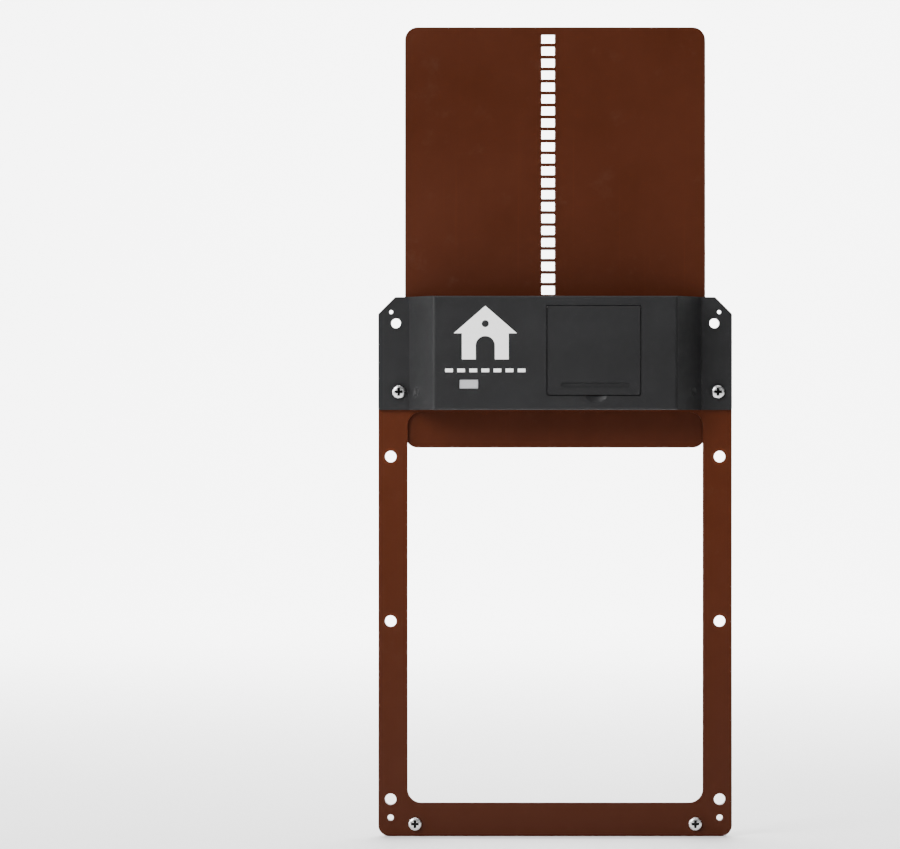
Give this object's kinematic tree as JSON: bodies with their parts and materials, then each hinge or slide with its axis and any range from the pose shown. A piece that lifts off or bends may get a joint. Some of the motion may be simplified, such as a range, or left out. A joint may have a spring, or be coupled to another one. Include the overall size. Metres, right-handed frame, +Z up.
{
  "type": "automatic coop door",
  "caption": "Wall-mounted coop door: a metal frame round a rectangular opening and a slotted panel driven up and down by a battery unit above it.",
  "frame": {"origin": "centre of the four outer wall-screw holes beside the opening, on the wall plane", "axes": "+Z up along the panel's travel, +Y out of the back into the wall, +X to the right for someone facing the front"},
  "size_m": [0.26, 0.0388, 0.595],
  "materials": {
    "brown_metal": "satin brown powder coat",
    "black_rubber": "matte moulded rubber",
    "zinc_steel": "zinc plated, dull",
    "bright_screw": "bright nickel plate",
    "housing_plastic": "fine moulded texture, dark grey",
    "white_print": "flat white pad print",
    "window_plastic": "milky clear",
    "sensor_resin": "cast resin",
    "led_resin": "cast resin, red",
    "board_laminate": "solder mask, green",
    "black_component": "moulded epoxy, black",
    "nylon": "moulded nylon, natural",
    "dark_nylon": "glass-filled nylon",
    "button_plastic": "moulded, red",
    "cell_jacket": "printed jacket, green",
    "bronze": "sintered bronze",
    "motor_steel": "drawn steel can",
    "lead_pvc": "soft cable insulation, red and black"
  },
  "bodies": {
    "frame": {"front_plate": "brown_metal", "left_rail": "brown_metal", "right_rail": "brown_metal", "sill_bar": "brown_metal", "sill_buffer": "black_rubber", "rear_bridge": "zinc_steel", "bridge_screws": "zinc_steel", "rail_rivets": "brown_metal", "sill_screws": "bright_screw", "housing": "housing_plastic", "housing_seal": "black_rubber", "housing_screws": "bright_screw", "front_print": "white_print", "sensor_window": "window_plastic", "light_sensor": "sensor_resin", "status_led": "led_resin", "control_board": "board_laminate", "board_parts": "black_component", "board_connectors": "nylon", "board_screws": "zinc_steel", "button_switch": "black_component", "battery_tray": "black_component", "tray_screws": "zinc_steel", "battery_cell_1": "cell_jacket", "battery_cell_2": "cell_jacket", "battery_cell_3": "cell_jacket", "battery_cell_4": "cell_jacket", "contact_springs": "zinc_steel", "contact_plates": "zinc_steel", "cover_seal": "black_rubber", "cover_hinge_pins": "zinc_steel", "gearbox_body": "nylon", "gearbox_cover": "nylon", "gearbox_cover_screws": "zinc_steel", "gearbox_mount_screws": "zinc_steel", "output_bushes": "bronze", "gearhead_can": "motor_steel", "motor_can": "motor_steel", "motor_end_cap": "black_component", "motor_terminals": "bronze", "motor_leads": "lead_pvc", "battery_leads": "lead_pvc"},
    "door": {"door_panel": "brown_metal"},
    "output": {"output_shaft": "zinc_steel", "sprocket": "nylon", "worm_wheel": "dark_nylon", "shaft_clips": "zinc_steel"},
    "worm_shaft": {"worm": "zinc_steel"},
    "cover": {"battery_cover": "housing_plastic"},
    "button": {"open_close_button": "button_plastic"}
  },
  "joints": [
    {"name": "door_slide", "type": "slide", "parent": "frame", "child": "door", "axis": [0, 0, 1], "range_m": [-0.262, 0]},
    {"name": "output_turn", "type": "hinge", "parent": "frame", "child": "output", "pos_m": [0, -0.0116, 0.173], "axis": [1, 0, 0], "continuous": true},
    {"name": "worm_turn", "type": "hinge", "parent": "frame", "child": "worm_shaft", "pos_m": [-0.019, -0.0206, 0.173], "axis": [0, 0, 1], "continuous": true},
    {"name": "cover_hinge", "type": "hinge", "parent": "frame", "child": "cover", "pos_m": [0.0282, -0.0374, 0.2352], "axis": [-1, 0, 0], "range_deg": [0, 90]},
    {"name": "button_press", "type": "slide", "parent": "frame", "child": "button", "axis": [0, 1, 0], "range_m": [0, 0.0005], "stiffness_N_per_m": 800}
  ],
  "couplings": [
    {"joint": "output_turn", "follows": "door_slide", "rad_per_m": 119},
    {"joint": "worm_turn", "follows": "door_slide", "rad_per_m": 1785}
  ]
}
